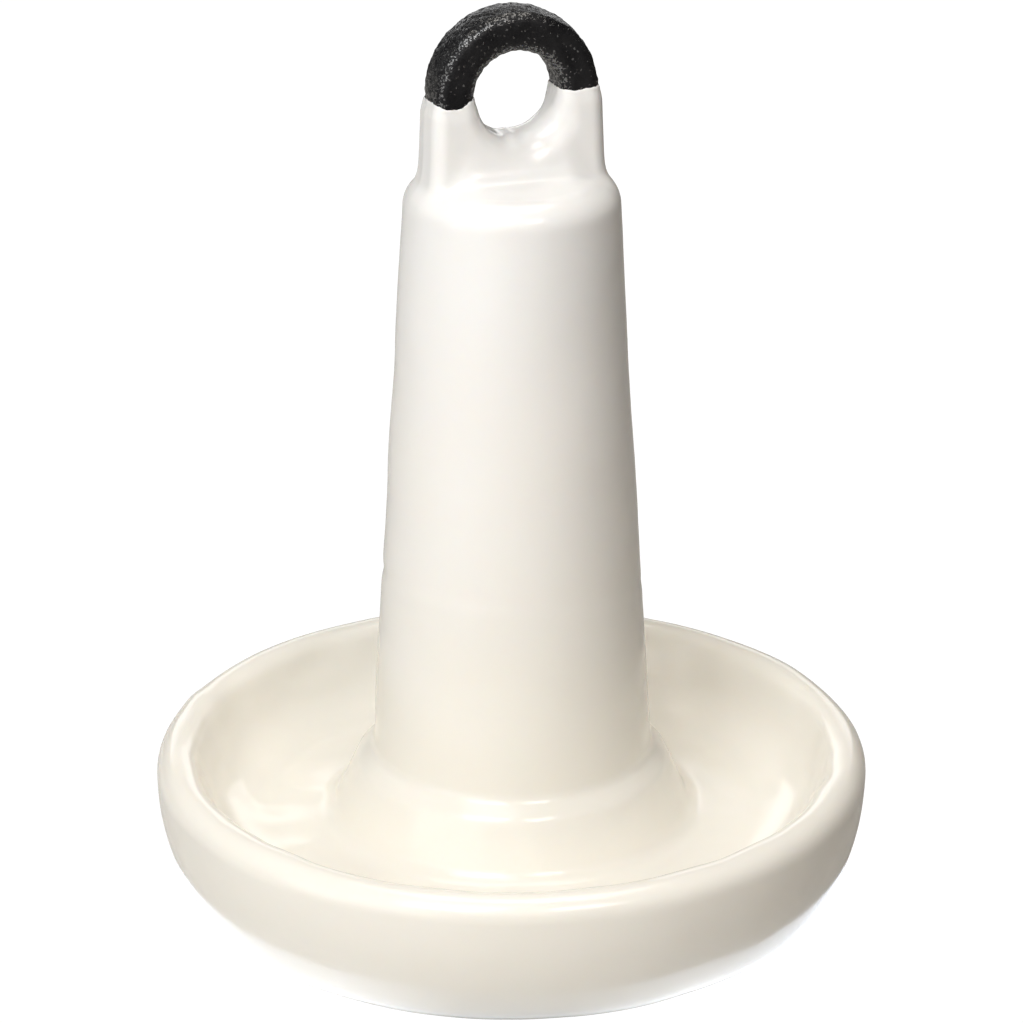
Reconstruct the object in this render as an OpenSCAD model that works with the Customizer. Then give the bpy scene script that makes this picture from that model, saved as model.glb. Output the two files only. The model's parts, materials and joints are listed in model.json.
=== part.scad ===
// Mushroom anchor: one iron casting (eye, shank, boss and bowl) in a dipped vinyl coat.
// The origin is the centre of the flat foot, +Z runs up the shank and the eye's bore lies along Y.

/* [Bowl] */
// Outside diameter of the coated bowl
bowl_d = 152; // [150:0.5:154]
// Thickness of the rolled lip
lip_t = 9; // [8:0.5:10]
// Height of the middle of the lip above the foot
lip_z = 31.2; // [30:0.2:33]
// Diameter of the flat that the anchor stands on
foot_d = 46; // [30:2:60]
// Height of the bowl's inside floor above the foot
trough_z = 20; // [18:0.5:22]

/* [Shank] */
// Diameter of the coated shank where it meets the boss
shank_base_d = 59.2; // [58:0.2:61]
// Diameter of the coated shank under its top shoulder
shank_top_d = 44.4; // [43:0.2:48]
// Height of the shank's flat top
shank_top_z = 162; // [158:1:165]
// Height of the boss's rounded shoulder
boss_z = 34.6; // [34:0.2:37]
// Diameter of the boss at its shoulder
boss_d = 67.5; // [66:0.5:70]

/* [Eye] */
// Diameter of the finished hole through the eye
eye_hole_d = 18; // [16:0.5:20]
// Height of the hole's centre
eye_z = 180; // [178:0.5:183]
// Outside diameter of the bare iron eye
eye_outer_d = 35; // [33:0.5:37]
// Thickness of the bare iron eye, along the bore
eye_t = 11.5; // [10:0.5:13]
// Rounding of the eye's outer edges
eye_edge_r = 2.2; // [1.5:0.1:4]
// Rounding of the hole's two mouths
mouth_r = 3; // [1:0.5:3.5]

/* [Vinyl coat] */
// Thickness of the coat over the shank and the bowl
coat_t = 1.2; // [0.8:0.1:1.6]
// Thickness of the coat around the eye, where the dip ends
eye_coat_t = 0.7; // [0.5:0.1:1]

/* [Hidden] */
$fn = 96;
arc_step = 6;              // degrees between points on the outline's short arcs
bowl_r = bowl_d / 2;
lip_r = lip_t / 2;
corner_r = 11.5;           // rounding under the bowl, between its side and its underside
side_r = 46;               // gentle curve of the bowl's side
corner_dip = 28.8;         // degrees below level where the side's curve meets the corner
touch = 0.02;              // keeps two rolls that touch from inside just apart
foot_blend_r = 150;        // easing from the flat foot into the sloping underside
trough_r = 13.5;           // fillet between the bowl's wall and its floor
boss_foot_r = 5;           // fillet round the foot of the boss
boss_edge_r = 4.5;         // rounding of the boss's shoulder
neck_r = 3.5;              // fillet between the boss and the shank
neck_sink = 0.4;           // how far that fillet dips below the shoulder's top, so the two blend
shoulder_r = 6;            // rounding of the shank's top
boss_slope = 23.5;         // degrees that the boss's side leans in from upright
boss_foot_run = 8.3;       // how far outside the shoulder the foot fillet's centre is
trough_in = 23.5;          // how far in from the rim the trough is deepest
floor_rise = 0.6;          // how much the bowl's floor rises from the trough to the boss
side_drop = 0.3;           // how far the side's curve is centred below the lip
tab_root_z = 130;          // the tab under the eye runs down inside the shank to here
cut = 1;                   // how far a cutter runs past what it cuts

corner_gap = side_r - corner_r + touch;
side_mid = [bowl_r - side_r, lip_z - side_drop];
boss_mid = [boss_d / 2 - boss_edge_r * cos(boss_slope), boss_z - boss_edge_r];
// Circles [r, z, signed radius] that the outline rolls round; positive where metal is inside.
ROLLS = [
    [foot_d / 2, foot_blend_r, foot_blend_r],
    [side_mid[0] + corner_gap * cos(corner_dip), side_mid[1] - corner_gap * sin(corner_dip), corner_r],
    [side_mid[0], side_mid[1], side_r],
    [bowl_r - lip_r, lip_z, lip_r],
    [bowl_r - trough_in, trough_z + trough_r, -trough_r],
    [boss_d / 2 + boss_foot_run, trough_z + floor_rise + boss_foot_r, -boss_foot_r],
    [boss_mid[0], boss_mid[1], boss_edge_r],
    [shank_base_d / 2 + neck_r, boss_z + neck_r - neck_sink, -neck_r],
    [shank_top_d / 2 - shoulder_r, shank_top_z - shoulder_r, shoulder_r]
];

// Outward direction, in degrees, of the line that runs straight from roll a to roll b.
function line_normal(a, b) =
    atan2(b[1] - a[1], b[0] - a[0]) - acos((a[2] - b[2]) / norm([b[0] - a[0], b[1] - a[1]]));

// The turn from angle a to angle b, kept between -180 and 180 degrees.
function turn(a, b) = (b - a + 540) % 360 - 180;

// Points round one roll, from outward direction a to outward direction b.
function roll_points(c, a, b) =
    let (sweep = turn(a, b), steps = max(1, ceil(abs(sweep) / arc_step)))
    [for (i = [0:steps]) let (t = a + sweep * i / steps) [c[0] + c[2] * cos(t), c[1] + c[2] * sin(t)]];

// The half outline of the turned body, with its surface brought in by inset.
function outline(inset) =
    let (
        rolls = [for (c = ROLLS) [c[0], c[1], c[2] - inset]],
        last = len(rolls) - 1,
        lines = [for (i = [0:last - 1]) line_normal(rolls[i], rolls[i + 1])],
        normals = concat([-90], lines, [90])
    )
    concat(
        [[0, inset]],
        [for (i = [0:last]) each roll_points(rolls[i], normals[i], normals[i + 1])],
        [[0, shank_top_z - inset]]
    );

module turned_body(inset) {
    rotate_extrude() polygon(outline(inset));
}

// A rectangle centred on the origin with its four corners rounded.
module rounded_rect(w, h, r) {
    square([w - 2 * r, h], center = true);
    square([w, h - 2 * r], center = true);
    for (x = [-1, 1], y = [-1, 1]) translate([x * (w / 2 - r), y * (h / 2 - r)]) circle(r);
}

// The upright tab below the eye, grown by skin on every side.
module tab(skin) {
    translate([0, 0, tab_root_z])
        linear_extrude(eye_z - tab_root_z)
            rounded_rect(eye_outer_d + 2 * skin, eye_t + 2 * skin, eye_edge_r + skin);
}

// The upper half of the eye's rim, still without its hole.
module eye_bow() {
    intersection() {
        translate([0, 0, eye_z]) rotate([90, 0, 0])
            rotate_extrude()
                intersection() {
                    rounded_rect(eye_outer_d, eye_t, eye_edge_r);
                    translate([0, -eye_t]) square([eye_outer_d, 2 * eye_t]);
                }
        translate([-eye_outer_d, -eye_t, eye_z]) cube([2 * eye_outer_d, 2 * eye_t, eye_outer_d]);
    }
}

// Cutter for a hole along Y with rounded mouths: r is its wall's radius, t the thickness it goes through.
module spool(r, t) {
    rotate([90, 0, 0])
        rotate_extrude()
            difference() {
                translate([0, -t / 2 - cut]) square([r + mouth_r, t + 2 * cut]);
                translate([r, -t / 2 + mouth_r]) square([2 * mouth_r, t - 2 * mouth_r]);
                for (s = [-1, 1]) translate([r + mouth_r, s * (t / 2 - mouth_r)]) circle(mouth_r);
            }
}

// Hole in the iron: true above the middle, and lower by the coat below it, where vinyl lines it.
module iron_hole() {
    translate([0, 0, eye_z]) spool(eye_hole_d / 2, eye_t);
    translate([0, 0, eye_z - eye_coat_t]) spool(eye_hole_d / 2, eye_t);
}

module iron_casting() {
    color("#26262a")
        difference() {
            union() {
                turned_body(coat_t);
                tab(0);
                eye_bow();
            }
            iron_hole();
        }
}

module vinyl_coat() {
    color("#f4f1e6")
        difference() {
            union() {
                turned_body(0);
                tab(eye_coat_t);
            }
            translate([0, 0, eye_z]) spool(eye_hole_d / 2, eye_t + 2 * eye_coat_t);
            turned_body(coat_t);
            difference() {
                tab(0);
                iron_hole();
            }
        }
}

iron_casting();
vinyl_coat();
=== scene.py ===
"""Looks for the vinyl-coated mushroom anchor: dipped coat, rough iron eye, white floor and soft light."""
import json
import math

import bpy
import numpy as np
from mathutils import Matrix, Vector


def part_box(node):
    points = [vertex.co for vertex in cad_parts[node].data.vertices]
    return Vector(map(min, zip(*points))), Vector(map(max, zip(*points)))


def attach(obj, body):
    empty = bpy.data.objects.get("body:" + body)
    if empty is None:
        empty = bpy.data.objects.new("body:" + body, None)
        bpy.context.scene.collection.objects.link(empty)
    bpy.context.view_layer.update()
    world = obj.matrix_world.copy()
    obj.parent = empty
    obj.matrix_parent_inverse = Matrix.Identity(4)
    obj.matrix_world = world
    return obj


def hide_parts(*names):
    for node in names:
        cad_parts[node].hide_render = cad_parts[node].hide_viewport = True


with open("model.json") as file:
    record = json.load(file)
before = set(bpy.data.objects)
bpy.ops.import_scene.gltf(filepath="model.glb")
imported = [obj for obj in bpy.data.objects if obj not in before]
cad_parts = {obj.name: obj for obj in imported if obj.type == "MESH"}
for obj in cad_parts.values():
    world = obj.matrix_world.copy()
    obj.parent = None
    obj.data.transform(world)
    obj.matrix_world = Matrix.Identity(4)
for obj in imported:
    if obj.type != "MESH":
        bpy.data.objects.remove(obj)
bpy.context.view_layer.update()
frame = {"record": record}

MM = 0.001
RECORD = frame["record"]
MOUNTS = {mount["name"]: mount for mount in RECORD["mounts"]}

# -------------------------------- sizes, in millimetres, all from the CAD model
_, COAT_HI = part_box("vinyl_coat")
_, IRON_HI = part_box("iron_casting")
BOWL_R = COAT_HI[0] / MM
EYE_Z = MOUNTS["eye_bore"]["pos_m"][2] / MM
EYE_R = IRON_HI[2] / MM - EYE_Z
HOLE_R = MOUNTS["eye_bore"]["dims"]["r_mm"]
COAT_T = 1.2          # vinyl over the bowl and the shank
EYE_COAT_T = 0.7      # vinyl round the eye
EYE_HALF_T = 5.75     # half the eye's thickness along its bore
EYE_EDGE_R = 2.2
EYE_DRAFT = 0.09      # how fast the eye narrows from its middle plane to its faces
MOUTH_R = 3.0
LIP_R, LIP_Z = 4.5, 31.2
SIDE_R, CORNER_R, CORNER_DIP = 46.0, 11.5, math.radians(28.8)
FOOT_R, FOOT_BLEND_R = 23.0, 150.0
TROUGH_R, TROUGH_Z = 13.5, 20.0
BOSS_R, BOSS_Z, BOSS_EDGE_R, BOSS_FOOT_R = 33.75, 34.6, 4.5, 5.0
BOSS_SLOPE, BOSS_FOOT_RUN = math.radians(23.5), 8.3
TROUGH_IN, FLOOR_RISE, SIDE_DROP = 23.5, 0.6, 0.3
SHANK_BASE_R, SHANK_TOP_R, SHANK_TOP_Z = 29.6, 22.2, 162.0
NECK_R, NECK_SINK, SHOULDER_R = 3.5, 0.4, 6.0
SEAM_Z = 155.0        # the lathe-made mesh below joins the grid-made mesh of the eye and tab here
TAB_DRAFT = 0.04      # how fast the tab widens downwards
NET_STEP = 0.35


# -------------------------------- the turned outline: circles that the surface rolls round
def turned_rolls(inset):
    """Circles (r, z, signed radius) of the half outline, foot to top; positive where metal is inside."""
    side = (BOWL_R - SIDE_R, LIP_Z - SIDE_DROP)
    gap = SIDE_R - CORNER_R + 0.02
    rolls = [
        (FOOT_R, FOOT_BLEND_R, FOOT_BLEND_R),
        (side[0] + gap * math.cos(CORNER_DIP), side[1] - gap * math.sin(CORNER_DIP), CORNER_R),
        (side[0], side[1], SIDE_R),
        (BOWL_R - LIP_R, LIP_Z, LIP_R),
        (BOWL_R - TROUGH_IN, TROUGH_Z + TROUGH_R, -TROUGH_R),
        (BOSS_R + BOSS_FOOT_RUN, TROUGH_Z + FLOOR_RISE + BOSS_FOOT_R, -BOSS_FOOT_R),
        (BOSS_R - BOSS_EDGE_R * math.cos(BOSS_SLOPE), BOSS_Z - BOSS_EDGE_R, BOSS_EDGE_R),
        (SHANK_BASE_R + NECK_R, BOSS_Z + NECK_R - NECK_SINK, -NECK_R),
        (SHANK_TOP_R - SHOULDER_R, SHANK_TOP_Z - SHOULDER_R, SHOULDER_R),
    ]
    return [(r, z, radius - inset) for r, z, radius in rolls]


def line_normal(a, b):
    """Outward direction of the straight line that touches circles a and b."""
    along = math.atan2(b[1] - a[1], b[0] - a[0])
    return along - math.acos((a[2] - b[2]) / math.hypot(b[0] - a[0], b[1] - a[1]))


def turn(a, b):
    """Angle from a to b, between -pi and pi."""
    return (b - a + 3 * math.pi) % (2 * math.pi) - math.pi


class Outline:
    """The turned body's half outline as arcs and straight lines, its surface brought in by inset."""

    def __init__(self, inset):
        rolls = turned_rolls(inset)
        between = [line_normal(a, b) for a, b in zip(rolls, rolls[1:])]
        starts = [-math.pi / 2, *between]
        ends = [*between, math.pi / 2]
        self.arcs = [(roll, start, turn(start, end)) for roll, start, end in zip(rolls, starts, ends)]
        self.lines = []
        point = (0.0, inset)
        for roll, start, sweep in self.arcs:
            self.lines.append((point, self.on_roll(roll, start), start))
            point = self.on_roll(roll, start + sweep)
        self.lines.append((point, (0.0, SHANK_TOP_Z - inset), math.pi / 2))

    @staticmethod
    def on_roll(roll, angle):
        r, z, radius = roll
        return (r + radius * math.cos(angle), z + radius * math.sin(angle))

    def distance(self, r, z):
        """Signed distance of points to the outline, negative in the metal."""
        best = np.full(r.shape, 1e6)
        for (cr, cz, radius), start, sweep in self.arcs:
            sign = 1.0 if radius > 0 else -1.0
            away = np.hypot(r - cr, z - cz)
            angle = np.arctan2(sign * (z - cz), sign * (r - cr))
            swept = (angle - start + 3 * math.pi) % (2 * math.pi) - math.pi
            low, high = min(0.0, sweep) - 1e-6, max(0.0, sweep) + 1e-6
            d = np.where((swept >= low) & (swept <= high), sign * (away - abs(radius)), 1e6)
            best = np.where(np.abs(d) < np.abs(best), d, best)
        for (r0, z0), (r1, z1), normal in self.lines:
            length = math.hypot(r1 - r0, z1 - z0)
            if length < 1e-6:
                continue
            t = ((r - r0) * (r1 - r0) + (z - z0) * (z1 - z0)) / length**2
            d = (r - r0) * math.cos(normal) + (z - z0) * math.sin(normal)
            d = np.where((t >= -1e-6) & (t <= 1 + 1e-6), d, 1e6)
            best = np.where(np.abs(d) < np.abs(best), d, best)
        return best

    def points(self, spacing, top_z):
        """Points (r, z) along the outline from the middle of the foot up to top_z on the shank."""
        finest = 0.16   # radians of an arc between two points, at most
        path = [self.lines[0][0]]
        for k, (roll, start, sweep) in enumerate(self.arcs):
            self._along(path, self.lines[k][1], spacing)
            steps = max(2, math.ceil(abs(sweep * roll[2]) / min(spacing, abs(roll[2]) * finest)))
            path += [self.on_roll(roll, start + sweep * i / steps) for i in range(1, steps + 1)]
        low = [p for p in path if p[1] < top_z or p[0] > SHANK_TOP_R + 1]
        end = self.radius_at(top_z)
        self._along(low, (end, top_z), spacing)
        return low

    @staticmethod
    def _along(path, end, spacing):
        r0, z0 = path[-1]
        steps = math.ceil(math.hypot(end[0] - r0, end[1] - z0) / spacing)
        for i in range(1, steps + 1):
            path.append((r0 + (end[0] - r0) * i / steps, z0 + (end[1] - z0) * i / steps))

    def radius_at(self, z):
        """Radius of the shank at a height."""
        (r0, z0), (r1, z1), _ = self.lines[-2]   # the shank's straight side
        return r0 + (r1 - r0) * (z - z0) / (z1 - z0)


# -------------------------------- smooth random fields
class Waves:
    """A smooth random field: a sum of plane waves in seeded random directions, about -1 to 1."""

    def __init__(self, seed, size, count=24, spread=0.45):
        rng = np.random.default_rng(seed)
        directions = rng.normal(size=(count, 3))
        directions /= np.linalg.norm(directions, axis=1, keepdims=True)
        sizes = size * np.exp(rng.uniform(-spread, spread, (count, 1)))
        self.k = directions * 2 * math.pi / sizes
        self.phase = rng.uniform(0, 2 * math.pi, count)

    def __call__(self, p):
        total = np.zeros(len(p))
        for k, phase in zip(self.k, self.phase):
            total += np.cos(p @ k + phase)
        return total * math.sqrt(2 / len(self.phase)) * 0.6


def smooth_step(x, low, high):
    """0 below low, 1 above high, and eased between."""
    t = np.clip((x - low) / (high - low), 0, 1)
    return t * t * (3 - 2 * t)


# -------------------------------- the casting as a distance field
def rounded_slab(d, y, half_t, edge_r):
    """A flat shape, with distance d to its outline, given a thickness along Y and rounded edges."""
    a = d + edge_r
    b = np.abs(y) - half_t + edge_r
    return np.minimum(np.maximum(a, b), 0) + np.hypot(np.maximum(a, 0), np.maximum(b, 0)) - edge_r


def blend_union(a, b, k):
    """The smaller of two distances, eased together over a width k."""
    h = np.maximum(k - np.abs(a - b), 0) / k
    return np.minimum(a, b) - h**3 * k / 6


CASTING_OUTLINE = Outline(COAT_T)


def casting_field(p):
    """Signed distance to the bare casting, its sand texture left out."""
    x, y, z = p[:, 0], p[:, 1], p[:, 2]
    body = CASTING_OUTLINE.distance(np.hypot(x, y), z)
    below = np.maximum(EYE_Z - z, 0)
    above = np.maximum(z - EYE_Z, 0)
    half_w = EYE_R + TAB_DRAFT * below
    flat = np.where(z > EYE_Z, np.hypot(x, above) - EYE_R, np.abs(x) - half_w) + EYE_DRAFT * np.abs(y)
    half_t = EYE_HALF_T + 0.02 * below
    tab = rounded_slab(flat, y, half_t, EYE_EDGE_R)
    down = np.clip(EYE_Z - z, 0, EYE_COAT_T)
    hole = HOLE_R - np.hypot(x, z - EYE_Z + down)
    scoop = smooth_step(below, 0, 7.0) * smooth_step(x, -8.0, 5.0)
    tab = np.maximum(tab, rounded_slab(hole, y, half_t, MOUTH_R + 2.3 * scoop))
    tab = np.maximum(tab, 130.0 - z)
    fillet = 5.0 + 9.0 * (1 - smooth_step(np.abs(x), 9.0, 17.0))
    return blend_union(body, tab, fillet)


def gradient(field, p, step=0.02):
    """Slope of a field at points, by differences."""
    g = np.empty_like(p)
    for axis in range(3):
        shift = np.zeros(3)
        shift[axis] = step
        g[:, axis] = (field(p + shift) - field(p - shift)) / (2 * step)
    return g


def settle(field, p, rounds=4):
    """Moves points onto the field's surface, and returns them with their outward normals."""
    for _ in range(rounds):
        g = gradient(field, p)
        p = p - g * (field(p) / np.maximum((g * g).sum(1), 0.05))[:, None]
    g = gradient(field, p)
    return p, g / np.maximum(np.linalg.norm(g, axis=1, keepdims=True), 1e-9)


# -------------------------------- meshes from the field
def surface_net(field, low, high, step):
    """Points and quads of the field's surface inside a box, one point in each grid cell that it crosses."""
    counts = np.ceil((high - low) / step).astype(int) + 1
    axes = [low[i] + step * np.arange(counts[i]) for i in range(3)]
    grid = np.stack(np.meshgrid(*axes, indexing="ij"), -1)
    value = field(grid.reshape(-1, 3)).reshape(counts)
    inside = value < 0
    cell = tuple(counts - 1)
    total = np.zeros(cell + (3,))
    crossings = np.zeros(cell)
    shifts = [(0, 0), (0, 1), (1, 0), (1, 1)]
    for axis in range(3):
        u, v = [a for a in range(3) if a != axis]
        for du, dv in shifts:
            start = [slice(0, n) for n in cell]
            start[u] = slice(du, du + cell[u])
            start[v] = slice(dv, dv + cell[v])
            end = list(start)
            end[axis] = slice(1, 1 + cell[axis])
            a, b = value[tuple(start)], value[tuple(end)]
            crossed = (a < 0) != (b < 0)
            t = np.where(crossed, a / np.where(crossed, a - b, 1), 0)
            at = grid[tuple(start)].copy()
            at[..., axis] += t * step
            total += np.where(crossed[..., None], at, 0)
            crossings += crossed
    used = crossings > 0
    index = np.full(cell, -1)
    index[used] = np.arange(used.sum())
    points = total[used] / crossings[used][:, None]
    quads = []
    for axis in range(3):
        u, v = (axis + 1) % 3, (axis + 2) % 3
        low_end = [slice(1, n) for n in cell]
        low_end[axis] = slice(0, cell[axis])
        high_end = list(low_end)
        high_end[axis] = slice(1, cell[axis] + 1)
        a, b = inside[tuple(low_end)], inside[tuple(high_end)]
        where = np.argwhere(a != b)
        leaving = a[tuple(where.T)]
        base = where + np.array([0 if i == axis else 1 for i in range(3)])
        corners = []
        for du, dv in [(-1, -1), (0, -1), (0, 0), (-1, 0)]:
            c = base.copy()
            c[:, u] += du
            c[:, v] += dv
            corners.append(index[tuple(c.T)])
        ring = np.stack(corners, 1)
        ring[~leaving] = ring[~leaving][:, ::-1]
        quads.append(ring)
    return points, np.concatenate(quads)


def open_edges(faces):
    """Points on the border of a set of quads."""
    edges = np.concatenate([faces[:, [i, (i + 1) % 4]] for i in range(4)])
    keys = np.sort(edges, 1)
    found, first, count = np.unique(keys, axis=0, return_index=True, return_counts=True)
    return np.unique(found[count == 1])


def lathe(path, turns):
    """Points and quads of a turned path, its first point on the axis."""
    angle = 2 * math.pi * np.arange(turns) / turns
    rings = [np.stack([r * np.cos(angle), r * np.sin(angle), np.full(turns, z)], 1) for r, z in path[1:]]
    points = np.concatenate([[[0, 0, path[0][1]]], *rings])
    here = np.arange(turns)
    after = (here + 1) % turns
    quads = []
    for k in range(len(rings) - 1):
        a, b = 1 + k * turns, 1 + (k + 1) * turns
        quads.append(np.stack([a + here, a + after, b + after, b + here], 1))
    fan = np.stack([np.zeros(turns, int), 1 + after, 1 + here], 1)
    return points, np.concatenate(quads), fan, 1 + (len(rings) - 1) * turns + here


def zip_rings(low_ring, low_angle, high_ring, high_angle):
    """Triangles between two rings of points round the same axis."""
    low_order, high_order = np.argsort(low_angle), np.argsort(high_angle)
    low, high = low_ring[low_order], high_ring[high_order]
    la, ha = low_angle[low_order], high_angle[high_order]
    la, ha = np.append(la, la[0] + 2 * math.pi), np.append(ha, ha[0] + 2 * math.pi)
    triangles = []
    i = j = 0
    while i < len(low) or j < len(high):
        step_low = j >= len(high) or (i < len(low) and la[i + 1] <= ha[j + 1])
        if step_low:
            triangles.append((low[i % len(low)], low[(i + 1) % len(low)], high[j % len(high)]))
            i += 1
        else:
            triangles.append((low[i % len(low)], high[(j + 1) % len(high)], high[j % len(high)]))
            j += 1
    return np.array(triangles)


def casting_mesh(lathe_spacing, turns, net_step):
    """The bare casting's surface: lathe-made up to SEAM_Z and grid-made above, with its normals."""
    path = CASTING_OUTLINE.points(lathe_spacing, SEAM_Z - 0.5 * net_step)
    body, body_quads, body_fan, top_ring = lathe(path, turns)
    span = SHANK_TOP_R + 2
    low = np.array([-span, -span, SEAM_Z])
    high = np.array([span, span, EYE_Z + EYE_R + 1])
    points, quads = surface_net(casting_field, low, high, net_step)
    border = open_edges(quads)
    points, _ = settle(casting_field, points, 3)
    angle = np.arctan2(points[border, 1], points[border, 0])
    radius = CASTING_OUTLINE.radius_at(SEAM_Z)
    seam = [radius * np.cos(angle), radius * np.sin(angle), np.full(len(border), SEAM_Z)]
    points[border] = np.stack(seam, 1)
    offset = len(body)
    low_angle = np.arctan2(body[top_ring, 1], body[top_ring, 0])
    strip = zip_rings(top_ring, low_angle, border + offset, angle)
    points = np.concatenate([body, points])
    points, normals = settle(casting_field, points, 1)
    quads = np.concatenate([body_quads, quads + offset])
    return points, normals, quads, np.concatenate([body_fan, strip])


def build_object(name, points, faces, material):
    mesh = bpy.data.meshes.new(name)
    mesh.from_pydata((points * MM).tolist(), [], faces)
    mesh.polygons.foreach_set("use_smooth", np.ones(len(mesh.polygons), bool))
    mesh.update()
    obj = bpy.data.objects.new(name, mesh)
    bpy.context.scene.collection.objects.link(obj)
    mesh.materials.append(material)
    return obj


# -------------------------------- the vinyl coat
EDGE_STEP, EDGE_W = 0.35, 0.35   # the share of its thickness that the coat starts with, and over what run
EDGE_RUN = 3.2                   # how far below its edge the coat reaches full thickness
WAVER = Waves(3, 5.0, 12)
JAGS = Waves(6, 1.3, 16)
RIPPLE = Waves(4, 34.0, 20)
DIMPLE = Waves(5, 9.0, 24)
LIP_WOBBLE = Waves(7, 16.0, 20)
CREASE = (74.5, -0.112, -0.144)   # height at the axis and slopes of the faint ring round the shank


def dip_line(p):
    """Height of the coat's wavy edge on the eye."""
    x, y = p[:, 0], p[:, 1]
    flat = np.stack([x, y * 0.6, np.zeros(len(x))], 1)
    left_sag = -1.3 * np.exp(-(((x + 13.9) / 3.2) ** 4)) - 0.4 * smooth_step(-x, 8.0, 14.0)
    right_sag = -0.4 * np.exp(-(((x - 11.7) / 2.6) ** 2)) + 0.35 * smooth_step(x, -4.0, 6.0)
    tilt = -0.05 * (y + EYE_HALF_T)
    return EYE_Z + 0.5 + left_sag + right_sag + tilt + 0.12 * WAVER(flat) + 0.1 * JAGS(p)


def spot(p, x, y, wide_x, wide_y):
    """A round bump over a place in plan, 1 in its middle."""
    return np.exp(-(((p[:, 0] - x) / wide_x) ** 2) - ((p[:, 1] - y) / wide_y) ** 2)


def bowl_puddles(p):
    """Where the wet vinyl ran together in the bowl: a hollow and ridges on the left, runs, a wavy lip."""
    in_bowl = (p[:, 2] > 17) & (p[:, 2] < 36)
    hollow = -0.5 * spot(p, -49, 17, 6.5, 5.5)
    ridges = 0.4 * spot(p, -56, 16, 4.0, 8) + 0.4 * spot(p, -40, 19, 4.5, 4.5)
    ridges += 0.3 * spot(p, -50, -6, 5, 4)
    runs = 0.4 * spot(p, 48, 36, 3, 10) - 0.3 * spot(p, 54, 28, 4, 9) + 0.4 * spot(p, -58, 42, 3, 6)
    radius = np.hypot(p[:, 0], p[:, 1])
    on_lip = smooth_step(p[:, 2], 25, 31) * smooth_step(radius, 58, 64) * (1 - smooth_step(radius, 68, 72))
    return (hollow + ridges + runs) * in_bowl + 0.28 * LIP_WOBBLE(p) * on_lip


def hole_pool(p):
    """Vinyl that pooled in the bottom of the eye's hole, ending on the left in a step."""
    x, z = p[:, 0], p[:, 2]
    away = np.hypot(x, z - EYE_Z)
    in_hole = (1 - smooth_step(away, HOLE_R + 0.9, HOLE_R + 3.0)) * (z < EYE_Z)
    around = np.arctan2(x, EYE_Z - z)
    pool = smooth_step(around, -0.36, -0.04) * (1 - smooth_step(around, 0.6, 1.4))
    return in_hole * 0.6 * pool


def coat_thickness(p):
    """Thickness of the vinyl over each point of the casting, zero above the dip line."""
    x, y, z = p[:, 0], p[:, 1], p[:, 2]
    on_eye = smooth_step(z, 158.0, 167.0)
    full = COAT_T + (EYE_COAT_T - COAT_T) * on_eye
    uneven = (1 - on_eye) * smooth_step(z, 1.5, 6.0)
    full = full + uneven * (0.16 * RIPPLE(p) + 0.025 * DIMPLE(p))
    ring = z - CREASE[0] - CREASE[1] * x - CREASE[2] * y
    on_shank = np.hypot(x, y) < 31.5
    crease = 0.09 * np.exp(-((ring / 1.1) ** 2)) - 0.07 * np.exp(-(((ring + 2.4) / 1.5) ** 2))
    full = full - on_shank * crease
    notch = np.exp(-(((x + 27) / 5) ** 2) - ((y - 8) / 7) ** 2 - ((z - 75.5) / 2.2) ** 2)
    full = full - 0.4 * notch * on_shank
    full = full + bowl_puddles(p) + hole_pool(p)
    below = dip_line(p) - z
    start = np.sqrt(1 - (1 - np.clip(below / EDGE_W, 0, 1)) ** 2)
    return full * (EDGE_STEP * start + (1 - EDGE_STEP) * smooth_step(below, 0, EDGE_RUN))


def coat_mesh():
    """The coat's outer surface: the casting's, raised by the thickness and cut off at the dip line."""
    points, _, quads, triangles = casting_mesh(1.2, 224, NET_STEP)
    over = points[:, 2] - dip_line(points)
    quads = quads[over[quads].min(1) < 0]
    used = np.unique(np.concatenate([quads.ravel(), triangles.ravel()]))
    renumber = np.full(len(points), -1)
    renumber[used] = np.arange(len(used))
    points, quads, triangles = points[used], renumber[quads], renumber[triangles]
    for _ in range(4):
        over = points[:, 2] - dip_line(points)
        rise = over > 0
        points[rise, 2] -= over[rise]
        points[rise], _ = settle(casting_field, points[rise], 1)
    _, normals = settle(casting_field, points, 0)
    return points + normals * coat_thickness(points)[:, None], quads, triangles


# -------------------------------- the rough iron
GRAIN = Waves(11, 1.5, 60, 0.6)
PITS = Waves(12, 3.2, 40, 0.5)


def iron_mesh():
    """The whole casting, with its sandy skin raised only where it's bare."""
    points, normals, quads, triangles = casting_mesh(2.4, 112, NET_STEP)
    bare = smooth_step(points[:, 2] - dip_line(points), -0.4, 0.6)
    grain = 0.06 * GRAIN(points) + 0.06 * PITS(points) - 0.03
    on_face = smooth_step(np.abs(points[:, 1]), 4.4, 5.4)
    return points + normals * (grain * bare * (1.2 - 0.8 * on_face))[:, None], quads, triangles


# -------------------------------- materials
# The third colour is for painted glints: sparse pale specks that stand in for the glints of the iron's
# crystalline grains.
IRON_DARK, IRON_LIGHT, IRON_PAINTED_GLINT = (0.005, 0.005, 0.006), (0.014, 0.014, 0.015), (0.1, 0.1, 0.1)
VINYL_STOPS = [   # place between the floor and 0.2 m up, and colour
    (0.0, (0.925, 0.895, 0.818)), (0.3, (0.925, 0.893, 0.812)), (0.5, (0.905, 0.875, 0.802)),
    (0.78, (0.905, 0.886, 0.848)), (1.0, (0.9, 0.892, 0.87)),
]
VINYL_GLOSS = [(0.3, (0.13, 0.13, 0.13)), (0.75, (0.2, 0.2, 0.2))]


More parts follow.
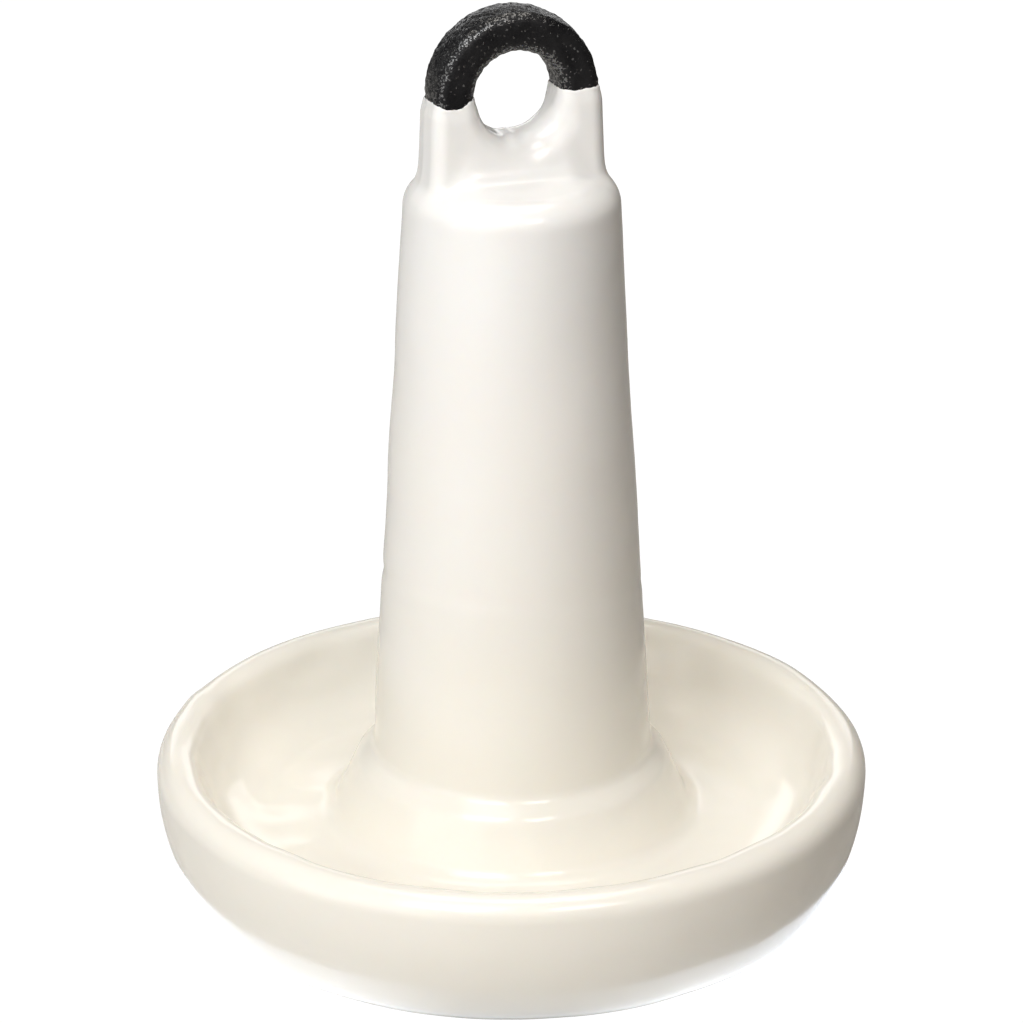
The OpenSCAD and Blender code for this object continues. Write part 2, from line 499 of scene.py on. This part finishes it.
def node(tree, kind, at, **settings):
    """A new node at a place; a setting named in_... sets an input, and any other sets a property."""
    made = tree.nodes.new(kind)
    made.location = at
    for key, value in settings.items():
        if key.startswith("in_"):
            made.inputs[key[3:].replace("_", " ")].default_value = value
        else:
            setattr(made, key, value)
    return made


def empty_material(name):
    """A material with no nodes, and its node tree."""
    material = bpy.data.materials.new(name)
    material.use_nodes = True
    material.node_tree.nodes.clear()
    return material, material.node_tree


def surface_material(name):
    """A material with a Principled shader and object coordinates."""
    material, tree = empty_material(name)
    out = node(tree, "ShaderNodeOutputMaterial", (900, 0))
    shader = node(tree, "ShaderNodeBsdfPrincipled", (600, 0))
    where = node(tree, "ShaderNodeTexCoord", (-900, 0))
    tree.links.new(shader.outputs["BSDF"], out.inputs["Surface"])
    return material, tree, shader, where


def noise(tree, where, at, scale, detail=3.0, roughness=0.5):
    """Noise over the piece, its scale in repeats per metre."""
    made = node(tree, "ShaderNodeTexNoise", at, in_Scale=scale, in_Detail=detail, in_Roughness=roughness)
    tree.links.new(where.outputs["Object"], made.inputs["Vector"])
    return made


def cells(tree, where, at, scale):
    """A random colour for each small cell of the piece, as separate channels."""
    made = node(tree, "ShaderNodeTexVoronoi", at, in_Scale=scale)
    tree.links.new(where.outputs["Object"], made.inputs["Vector"])
    channels = node(tree, "ShaderNodeSeparateColor", (at[0] + 200, at[1]))
    tree.links.new(made.outputs["Color"], channels.inputs["Color"])
    return channels


def colour_socket(sockets, name):
    """A Mix node's colour socket; it has sockets of the same name for other kinds of data."""
    return next(socket for socket in sockets if socket.name == name and socket.type == "RGBA")


def ramp(tree, source, at, stops):
    """A colour ramp with stops (place, colour), driven by source."""
    made = node(tree, "ShaderNodeValToRGB", at)
    elements = made.color_ramp.elements
    while len(elements) < len(stops):
        elements.new(0.5)
    for element, (place, colour) in zip(elements, stops):
        element.position = place
        element.color = (*colour, 1.0)
    tree.links.new(source, made.inputs["Fac"])
    return made


def vinyl_material():
    """Glossy plastisol, near-neutral white at the top of the shank and creamier below it."""
    material, tree, shader, where = surface_material("vinyl_dipped_warm_white")
    height = node(tree, "ShaderNodeSeparateXYZ", (-900, 500))
    tree.links.new(where.outputs["Object"], height.inputs["Vector"])
    mottle = noise(tree, where, (-900, 250), 24.0, 2.0)
    sway = node(tree, "ShaderNodeMath", (-700, 400), operation="MULTIPLY_ADD")
    tree.links.new(mottle.outputs["Fac"], sway.inputs[0])
    sway.inputs[1].default_value = 0.09
    tree.links.new(height.outputs["Z"], sway.inputs[2])
    level = node(tree, "ShaderNodeMapRange", (-500, 400), in_From_Min=0.0, in_From_Max=0.2)
    tree.links.new(sway.outputs["Value"], level.inputs["Value"])
    colour = ramp(tree, level.outputs["Result"], (-300, 400), VINYL_STOPS)
    tree.links.new(colour.outputs["Color"], shader.inputs["Base Color"])
    smear = noise(tree, where, (-700, 0), 60.0, 3.0)
    gloss = ramp(tree, smear.outputs["Fac"], (-450, 0), VINYL_GLOSS)
    tree.links.new(gloss.outputs["Color"], shader.inputs["Roughness"])
    shader.inputs["IOR"].default_value = 1.5
    shader.inputs["Subsurface Weight"].default_value = 0.12
    shader.inputs["Subsurface Radius"].default_value = (1.0, 0.75, 0.5)
    shader.inputs["Subsurface Scale"].default_value = 0.002
    peel = noise(tree, where, (-700, -300), 210.0, 2.0)
    bump = node(tree, "ShaderNodeBump", (300, -300), in_Strength=0.04, in_Distance=0.0004)
    tree.links.new(peel.outputs["Fac"], bump.inputs["Height"])
    tree.links.new(bump.outputs["Normal"], shader.inputs["Normal"])
    return material


def iron_material():
    """Black as-cast iron: dull flat faces, and a sandy rim whose grains catch the light one by one."""
    material, tree, shader, where = surface_material("iron_as_cast_black")
    patches = noise(tree, where, (-700, 500), 180.0, 3.0)
    colour = ramp(tree, patches.outputs["Fac"], (-450, 500), [(0.35, IRON_DARK), (0.7, IRON_LIGHT)])
    # Painted glints: sparse cells whose colour is turned pale, standing in for glints of the iron's
    # crystalline grains.
    glint_cells = cells(tree, where, (-700, 800), 2800.0)
    painted_glint_mask = node(tree, "ShaderNodeMath", (-300, 800), operation="GREATER_THAN")
    tree.links.new(glint_cells.outputs["Red"], painted_glint_mask.inputs[0])
    painted_glint_mask.inputs[1].default_value = 0.985
    skin = node(tree, "ShaderNodeMix", (-100, 600), data_type="RGBA")
    tree.links.new(painted_glint_mask.outputs["Value"], skin.inputs["Factor"])
    tree.links.new(colour.outputs["Color"], colour_socket(skin.inputs, "A"))
    colour_socket(skin.inputs, "B").default_value = (*IRON_PAINTED_GLINT, 1)
    tree.links.new(colour_socket(skin.outputs, "Result"), shader.inputs["Base Color"])
    axes = node(tree, "ShaderNodeSeparateXYZ", (-1300, 100))
    tree.links.new(where.outputs["Object"], axes.inputs["Vector"])
    depth = node(tree, "ShaderNodeMath", (-1150, 100), operation="ABSOLUTE")
    tree.links.new(axes.outputs["Y"], depth.inputs[0])
    face = node(tree, "ShaderNodeMapRange", (-1000, 100), in_From_Min=0.0052, in_From_Max=0.0056)
    tree.links.new(depth.outputs["Value"], face.inputs["Value"])
    shader.inputs["IOR"].default_value = 2.2
    grain = noise(tree, where, (-700, 100), 1500.0, 4.0, 0.7)
    flecks = cells(tree, where, (-700, -150), 3000.0)
    needed = node(tree, "ShaderNodeMapRange", (-500, -350), in_To_Min=0.62, in_To_Max=0.965)
    tree.links.new(face.outputs["Result"], needed.inputs["Value"])
    bright = node(tree, "ShaderNodeMath", (-300, -200), operation="GREATER_THAN")
    tree.links.new(flecks.outputs["Red"], bright.inputs[0])
    tree.links.new(needed.outputs["Result"], bright.inputs[1])
    gloss = node(tree, "ShaderNodeMapRange", (-50, 100), in_To_Min=0.36, in_To_Max=0.2)
    tree.links.new(bright.outputs["Value"], gloss.inputs["Value"])
    tree.links.new(gloss.outputs["Result"], shader.inputs["Roughness"])
    shine = node(tree, "ShaderNodeMapRange", (-50, -100), in_To_Min=0.06, in_To_Max=0.52)
    tree.links.new(bright.outputs["Value"], shine.inputs["Value"])
    tree.links.new(shine.outputs["Result"], shader.inputs["Specular IOR Level"])
    facets = node(tree, "ShaderNodeBump", (300, -400), in_Strength=0.4, in_Distance=0.0004)
    tree.links.new(flecks.outputs["Green"], facets.inputs["Height"])
    bump = node(tree, "ShaderNodeBump", (450, -300), in_Strength=0.35, in_Distance=0.0005)
    tree.links.new(grain.outputs["Fac"], bump.inputs["Height"])
    tree.links.new(facets.outputs["Normal"], bump.inputs["Normal"])
    tree.links.new(bump.outputs["Normal"], shader.inputs["Normal"])
    return material


# -------------------------------- the pieces
def add_pieces():
    points, quads, triangles = coat_mesh()
    coat = build_object("vinyl_dipped_coat", points, quads.tolist() + triangles.tolist(), vinyl_material())
    points, quads, triangles = iron_mesh()
    iron = build_object("iron_anchor_casting", points, quads.tolist() + triangles.tolist(), iron_material())
    for piece, cad_node, slot in [(coat, "vinyl_coat", "vinyl"), (iron, "iron_casting", "bare_iron")]:
        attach(piece, "root")
        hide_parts(cad_node)


# -------------------------------- studio
AZIMUTH = math.radians(17.7)
CAMERA_BACK, CAMERA_UP, CAMERA_PITCH = 0.7749, 0.4026, math.radians(22.06)
# The floor's colour in the light it gives, left and right: the darker right is painted shade, standing in
# for the floor lying in shadow there.
FLOOR_LEFT, FLOOR_RIGHT = (0.8, 0.79, 0.77), (0.24, 0.22, 0.195)
GLOW_INNER, GLOW_OUTER, GLOW_Z = 0.064, 0.077, 0.0001
GLOW_COLOUR = (0.94, 0.99, 1.08)
GLOW_FRONT, GLOW_SIDES = 0.8, 1.8   # strength below the front of the bowl, and to its left and right
WORLD_STOPS = [(0.0, (0.08, 0.08, 0.08)), (0.45, (0.08, 0.08, 0.08)), (0.8, (0.02, 0.02, 0.02))]


def add_camera():
    """A camera with a long lens, in front of the part and a little to the left, looking down."""
    data = bpy.data.cameras.new("camera")
    data.sensor_width = 36.0
    data.lens = 140.3
    camera = bpy.data.objects.new("camera", data)
    camera.location = (-math.sin(AZIMUTH) * CAMERA_BACK, -math.cos(AZIMUTH) * CAMERA_BACK, CAMERA_UP)
    camera.rotation_euler = (math.pi / 2 - CAMERA_PITCH, 0, -AZIMUTH)
    bpy.context.scene.collection.objects.link(camera)
    bpy.context.scene.camera = camera


def across_stage(tree, source):
    """How far right each point is, seen from the front of the stage."""
    made = node(tree, "ShaderNodeVectorMath", (-700, 0), operation="DOT_PRODUCT")
    tree.links.new(source, made.inputs[0])
    made.inputs[1].default_value = (math.cos(AZIMUTH), -math.sin(AZIMUTH), 0)
    return made.outputs["Value"]


def light_path_switch(tree, at, output, plain, special):
    """Mixes two shaders: plain for most rays, special for the kind of ray that output names."""
    path = node(tree, "ShaderNodeLightPath", (at[0] - 300, at[1] + 200))
    mix = node(tree, "ShaderNodeMixShader", at)
    tree.links.new(path.outputs[output], mix.inputs["Fac"])
    tree.links.new(plain, mix.inputs[1])
    tree.links.new(special, mix.inputs[2])
    return mix.outputs["Shader"]


def floor_material():
    """A white floor: blown out as it is seen; in the light that it gives, its colour is painted darker
    towards the right, a painted shade that dims the bounce on the part's right side.
    """
    material, tree = empty_material("floor_white")
    out = node(tree, "ShaderNodeOutputMaterial", (900, 0))
    where = node(tree, "ShaderNodeTexCoord", (-900, 0))
    spread = node(tree, "ShaderNodeMapRange", (-500, 0), in_From_Min=-0.25, in_From_Max=0.35)
    tree.links.new(across_stage(tree, where.outputs["Object"]), spread.inputs["Value"])
    shade = ramp(tree, spread.outputs["Result"], (-300, 0), [(0.0, FLOOR_LEFT), (1.0, FLOOR_RIGHT)])
    diffuse = node(tree, "ShaderNodeBsdfDiffuse", (0, 0))
    tree.links.new(shade.outputs["Color"], diffuse.inputs["Color"])
    white = node(tree, "ShaderNodeEmission", (0, -200), in_Color=(1, 1, 1, 1), in_Strength=1.05)
    lit, blown = diffuse.outputs["BSDF"], white.outputs["Emission"]
    seen = light_path_switch(tree, (600, 0), "Is Camera Ray", lit, blown)
    tree.links.new(seen, out.inputs["Surface"])
    return material


def add_floor():
    size = 3.0
    mesh = bpy.data.meshes.new("floor")
    corners = [(-size, -size, 0), (size, -size, 0), (size, size, 0), (-size, size, 0)]
    mesh.from_pydata(corners, [], [(0, 1, 2, 3)])
    floor = bpy.data.objects.new("floor", mesh)
    bpy.context.scene.collection.objects.link(floor)
    mesh.materials.append(floor_material())


def add_glow():
    """The lit floor round the foot: a flat ring that shines up on the bowl's underside."""
    steps = 96
    angle = 2 * math.pi * np.arange(steps) / steps
    height = np.full(steps, GLOW_Z)
    radii = (GLOW_INNER, GLOW_OUTER)
    rings = [np.stack([r * np.cos(angle), r * np.sin(angle), height], 1) for r in radii]
    faces = [(i, (i + 1) % steps, steps + (i + 1) % steps, steps + i) for i in range(steps)]
    mesh = bpy.data.meshes.new("floor_glow")
    mesh.from_pydata(np.concatenate(rings).tolist(), [], faces)
    glow = bpy.data.objects.new("floor_glow", mesh)
    bpy.context.scene.collection.objects.link(glow)
    material, tree = empty_material("floor_glow")
    out = node(tree, "ShaderNodeOutputMaterial", (300, 0))
    light = node(tree, "ShaderNodeEmission", (0, 0), in_Color=(*GLOW_COLOUR, 1))
    where = node(tree, "ShaderNodeTexCoord", (-900, 0))
    aside = node(tree, "ShaderNodeMath", (-500, 0), operation="ABSOLUTE")
    tree.links.new(across_stage(tree, where.outputs["Object"]), aside.inputs[0])
    power = node(tree, "ShaderNodeMapRange", (-300, 0), in_From_Min=0.012, in_From_Max=0.04)
    power.inputs["To Min"].default_value = GLOW_FRONT
    power.inputs["To Max"].default_value = GLOW_SIDES
    tree.links.new(aside.outputs["Value"], power.inputs["Value"])
    tree.links.new(power.outputs["Result"], light.inputs["Strength"])
    tree.links.new(light.outputs["Emission"], out.inputs["Surface"])
    mesh.materials.append(material)
    glow.visible_camera = False


def add_light(name, azimuth, elevation, distance, size, power, aim_z=0.08, colour=(1, 1, 1)):
    """A rectangular softbox. Its azimuth is in degrees to the right of the camera, round the part."""
    around = math.radians(azimuth - 90) - AZIMUTH
    elevation = math.radians(elevation)
    data = bpy.data.lights.new(name, "AREA")
    data.shape = "RECTANGLE"
    data.size, data.size_y = size
    data.energy = power
    data.color = colour
    light = bpy.data.objects.new(name, data)
    flat = math.cos(elevation)
    away = Vector((flat * math.cos(around), flat * math.sin(around), math.sin(elevation)))
    light.location = Vector((0, 0, aim_z)) + away * distance
    light.rotation_euler = away.to_track_quat("Z", "Y").to_euler()
    bpy.context.scene.collection.objects.link(light)


def add_world():
    """Dim surroundings, darker on the right."""
    world = bpy.data.worlds.new("studio")
    bpy.context.scene.world = world
    world.use_nodes = True
    tree = world.node_tree
    background = tree.nodes["Background"]
    where = node(tree, "ShaderNodeTexCoord", (-900, 0))
    spread = node(tree, "ShaderNodeMapRange", (-500, 0), in_From_Min=-1.0, in_From_Max=1.0)
    tree.links.new(across_stage(tree, where.outputs["Generated"]), spread.inputs["Value"])
    shade = ramp(tree, spread.outputs["Result"], (-300, 0), WORLD_STOPS)
    tree.links.new(shade.outputs["Color"], background.inputs["Color"])
    background.inputs["Strength"].default_value = 1.0


def add_lighting():
    add_world()
    add_light("window_left", -23, 44, 1.2, (0.56, 0.54), 5.2)
    add_light("window_right", 25, 43, 1.2, (0.36, 0.36), 2.6, colour=(1.08, 1.0, 0.94))
    add_light("high_left", -23, 62, 1.2, (0.6, 0.5), 1.9, colour=(0.95, 1.0, 1.06))
    add_light("front_fill", 0, 30, 1.2, (0.6, 0.6), 0.9, colour=(1.08, 1.0, 0.9))
    add_light("low_left", -44, 14, 1.2, (1.1, 0.8), 3.9)
    add_light("overhead", 180, 80, 1.2, (0.7, 0.7), 5.9, colour=(1.05, 1.0, 0.92))
    add_light("backdrop", 180, 14, 1.2, (1.05, 0.34), 1.8)
    add_glow()
    bpy.context.scene.view_settings.view_transform = "Standard"


add_pieces()
add_camera()
add_floor()
add_lighting()
